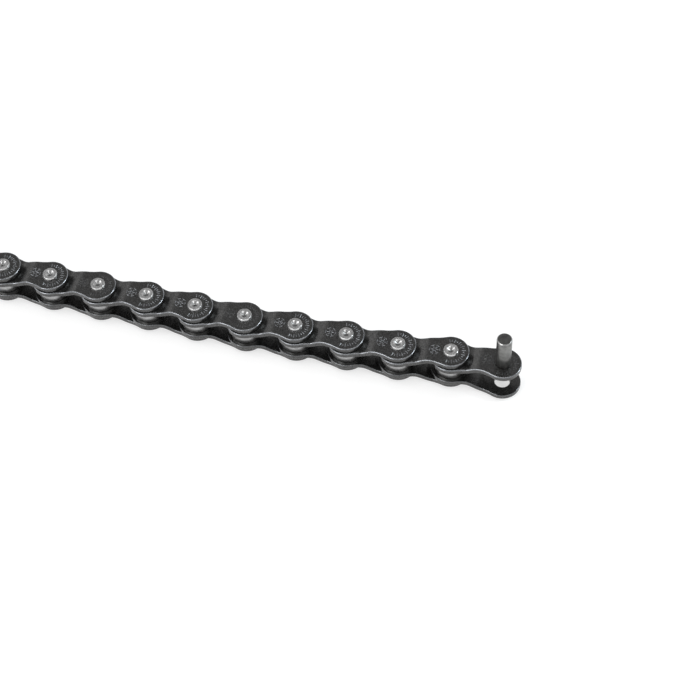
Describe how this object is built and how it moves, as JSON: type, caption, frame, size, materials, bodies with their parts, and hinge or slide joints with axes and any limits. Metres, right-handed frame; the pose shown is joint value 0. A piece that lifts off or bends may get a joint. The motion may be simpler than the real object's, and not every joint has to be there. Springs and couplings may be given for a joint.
{
  "type": "half-link roller chain",
  "caption": "Open length of half-link roller chain: cranked dark plates, bushes, rollers and riveted pins, ending in two open ears with a loose joining pin.",
  "frame": {"origin": "centre of the bush bore in the open narrow end, on the chain's middle plane", "axes": "+X along the run towards the open ears; +Z along the pins, towards the free end of the loose joining pin; the chain lies on its riveted pin ends at z = -5.1 mm"},
  "size_m": [0.1615, 0.0114, 0.0189],
  "materials": {
    "plate_black": "satin",
    "bush_steel": "satin",
    "roller_steel": "satin",
    "pin_steel": "satin",
    "joining_pin_steel": "satin"
  },
  "bodies": {
    "link_01": {"upper_plate_01": "plate_black", "lower_plate_01": "plate_black", "bush_01": "bush_steel", "pin_01": "pin_steel"},
    "link_02": {"upper_plate_02": "plate_black", "lower_plate_02": "plate_black", "bush_02": "bush_steel", "pin_02": "pin_steel"},
    "link_03": {"upper_plate_03": "plate_black", "lower_plate_03": "plate_black", "bush_03": "bush_steel", "pin_03": "pin_steel"},
    "link_04": {"upper_plate_04": "plate_black", "lower_plate_04": "plate_black", "bush_04": "bush_steel", "pin_04": "pin_steel"},
    "link_05": {"upper_plate_05": "plate_black", "lower_plate_05": "plate_black", "bush_05": "bush_steel", "pin_05": "pin_steel"},
    "link_06": {"upper_plate_06": "plate_black", "lower_plate_06": "plate_black", "bush_06": "bush_steel", "pin_06": "pin_steel"},
    "link_07": {"upper_plate_07": "plate_black", "lower_plate_07": "plate_black", "bush_07": "bush_steel", "pin_07": "pin_steel"},
    "link_08": {"upper_plate_08": "plate_black", "lower_plate_08": "plate_black", "bush_08": "bush_steel", "pin_08": "pin_steel"},
    "link_09": {"upper_plate_09": "plate_black", "lower_plate_09": "plate_black", "bush_09": "bush_steel", "pin_09": "pin_steel"},
    "link_10": {"upper_plate_10": "plate_black", "lower_plate_10": "plate_black", "bush_10": "bush_steel", "pin_10": "pin_steel"},
    "link_11": {"upper_plate_11": "plate_black", "lower_plate_11": "plate_black", "bush_11": "bush_steel", "pin_11": "pin_steel"},
    "link_12": {"upper_plate_12": "plate_black", "lower_plate_12": "plate_black", "bush_12": "bush_steel"},
    "roller_turn_01": {"roller_01": "roller_steel"},
    "roller_turn_02": {"roller_02": "roller_steel"},
    "roller_turn_03": {"roller_03": "roller_steel"},
    "roller_turn_04": {"roller_04": "roller_steel"},
    "roller_turn_05": {"roller_05": "roller_steel"},
    "roller_turn_06": {"roller_06": "roller_steel"},
    "roller_turn_07": {"roller_07": "roller_steel"},
    "roller_turn_08": {"roller_08": "roller_steel"},
    "roller_turn_09": {"roller_09": "roller_steel"},
    "roller_turn_10": {"roller_10": "roller_steel"},
    "roller_turn_11": {"roller_11": "roller_steel"},
    "roller_turn_12": {"roller_12": "roller_steel"},
    "joining_pin_slide": {"joining_pin": "joining_pin_steel"}
  },
  "joints": [
    {"name": "pin_hinge_01", "type": "hinge", "parent": "link_01", "child": "link_02", "pos_m": [0.0127, 0, 0], "axis": [0, 0, 1], "range_deg": [-100, 100]},
    {"name": "pin_hinge_02", "type": "hinge", "parent": "link_02", "child": "link_03", "pos_m": [0.0254, 0, 0], "axis": [0, 0, -1], "range_deg": [-100, 100]},
    {"name": "pin_hinge_03", "type": "hinge", "parent": "link_03", "child": "link_04", "pos_m": [0.0381, 0, 0], "axis": [0, 0, 1], "range_deg": [-99.5, 100.5]},
    {"name": "pin_hinge_04", "type": "hinge", "parent": "link_04", "child": "link_05", "pos_m": [0.0508, -0.00011, 0], "axis": [0, 0, -1], "range_deg": [-100, 100]},
    {"name": "pin_hinge_05", "type": "hinge", "parent": "link_05", "child": "link_06", "pos_m": [0.0635, -0.00022, 0], "axis": [0, 0, 1], "range_deg": [-99.5, 100.5]},
    {"name": "pin_hinge_06", "type": "hinge", "parent": "link_06", "child": "link_07", "pos_m": [0.0762, -0.00044, 0], "axis": [0, 0, -1], "range_deg": [-99.5, 100.5]},
    {"name": "pin_hinge_07", "type": "hinge", "parent": "link_07", "child": "link_08", "pos_m": [0.0889, -0.00055, 0], "axis": [0, 0, 1], "range_deg": [-101.5, 98.5]},
    {"name": "pin_hinge_08", "type": "hinge", "parent": "link_08", "child": "link_09", "pos_m": [0.10159, -0.00033, 0], "axis": [0, 0, -1], "range_deg": [-100, 100]},
    {"name": "pin_hinge_09", "type": "hinge", "parent": "link_09", "child": "link_10", "pos_m": [0.11429, -0.00011, 0], "axis": [0, 0, 1], "range_deg": [-100, 100]},
    {"name": "pin_hinge_10", "type": "hinge", "parent": "link_10", "child": "link_11", "pos_m": [0.12699, 0.00011, 0], "axis": [0, 0, -1], "range_deg": [-96, 104]},
    {"name": "pin_hinge_11", "type": "hinge", "parent": "link_11", "child": "link_12", "pos_m": [0.13964, 0.00122, 0], "axis": [0, 0, 1], "range_deg": [-93.5, 106.5]},
    {"name": "roller_spin_01", "type": "hinge", "parent": "link_01", "child": "roller_turn_01", "pos_m": [0, 0, 0], "axis": [0, 0, 1], "continuous": true},
    {"name": "roller_spin_02", "type": "hinge", "parent": "link_02", "child": "roller_turn_02", "pos_m": [0.0127, 0, 0], "axis": [0, 0, 1], "continuous": true},
    {"name": "roller_spin_03", "type": "hinge", "parent": "link_03", "child": "roller_turn_03", "pos_m": [0.0254, 0, 0], "axis": [0, 0, 1], "continuous": true},
    {"name": "roller_spin_04", "type": "hinge", "parent": "link_04", "child": "roller_turn_04", "pos_m": [0.0381, 0, 0], "axis": [0, 0, 1], "continuous": true},
    {"name": "roller_spin_05", "type": "hinge", "parent": "link_05", "child": "roller_turn_05", "pos_m": [0.0508, -0.00011, 0], "axis": [0, 0, 1], "continuous": true},
    {"name": "roller_spin_06", "type": "hinge", "parent": "link_06", "child": "roller_turn_06", "pos_m": [0.0635, -0.00022, 0], "axis": [0, 0, 1], "continuous": true},
    {"name": "roller_spin_07", "type": "hinge", "parent": "link_07", "child": "roller_turn_07", "pos_m": [0.0762, -0.00044, 0], "axis": [0, 0, 1], "continuous": true},
    {"name": "roller_spin_08", "type": "hinge", "parent": "link_08", "child": "roller_turn_08", "pos_m": [0.0889, -0.00055, 0], "axis": [0, 0, 1], "continuous": true},
    {"name": "roller_spin_09", "type": "hinge", "parent": "link_09", "child": "roller_turn_09", "pos_m": [0.10159, -0.00033, 0], "axis": [0, 0, 1], "continuous": true},
    {"name": "roller_spin_10", "type": "hinge", "parent": "link_10", "child": "roller_turn_10", "pos_m": [0.11429, -0.00011, 0], "axis": [0, 0, 1], "continuous": true},
    {"name": "roller_spin_11", "type": "hinge", "parent": "link_11", "child": "roller_turn_11", "pos_m": [0.12699, 0.00011, 0], "axis": [0, 0, 1], "continuous": true},
    {"name": "roller_spin_12", "type": "hinge", "parent": "link_12", "child": "roller_turn_12", "pos_m": [0.13964, 0.00122, 0], "axis": [0, 0, 1], "continuous": true},
    {"name": "joining_pin_press", "type": "slide", "parent": "link_12", "child": "joining_pin_slide", "axis": [0, 0, -1], "range_m": [0, 0.00855]}
  ]
}
